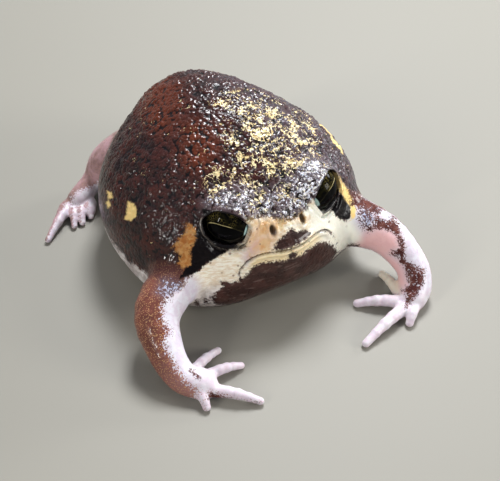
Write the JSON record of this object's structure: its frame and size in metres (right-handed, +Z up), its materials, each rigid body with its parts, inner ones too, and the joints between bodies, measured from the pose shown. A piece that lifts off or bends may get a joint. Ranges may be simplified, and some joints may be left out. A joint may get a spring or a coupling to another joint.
{
  "type": "powers rain frog model",
  "caption": "Still life-size rain frog, squatting with its round body puffed up, short arms turned in, hind feet out to the sides and belly flat on the floor.",
  "frame": {"origin": "middle of the whole model's box, at the level of the floor that it rests on", "axes": "+X towards the frog's left, -Y the way it faces, +Z up"},
  "size_m": [0.0578, 0.0612, 0.0273],
  "materials": {
    "skin": "wet, granular, glossy",
    "pale_skin": "wet, smooth, slightly translucent",
    "eye": "wet, clear, mirror-like gloss"
  },
  "bodies": {
    "root": {"torso": "skin", "head": "skin", "lower_jaw": "skin", "eye_left": "eye", "eye_right": "eye", "upper_arm_left": "skin", "upper_arm_right": "skin", "forearm_left": "skin", "forearm_right": "skin", "hand_left": "pale_skin", "hand_right": "pale_skin", "thigh_left": "skin", "thigh_right": "skin", "shank_left": "skin", "shank_right": "skin", "foot_left": "pale_skin", "foot_right": "pale_skin"}
  },
  "joints": []
}
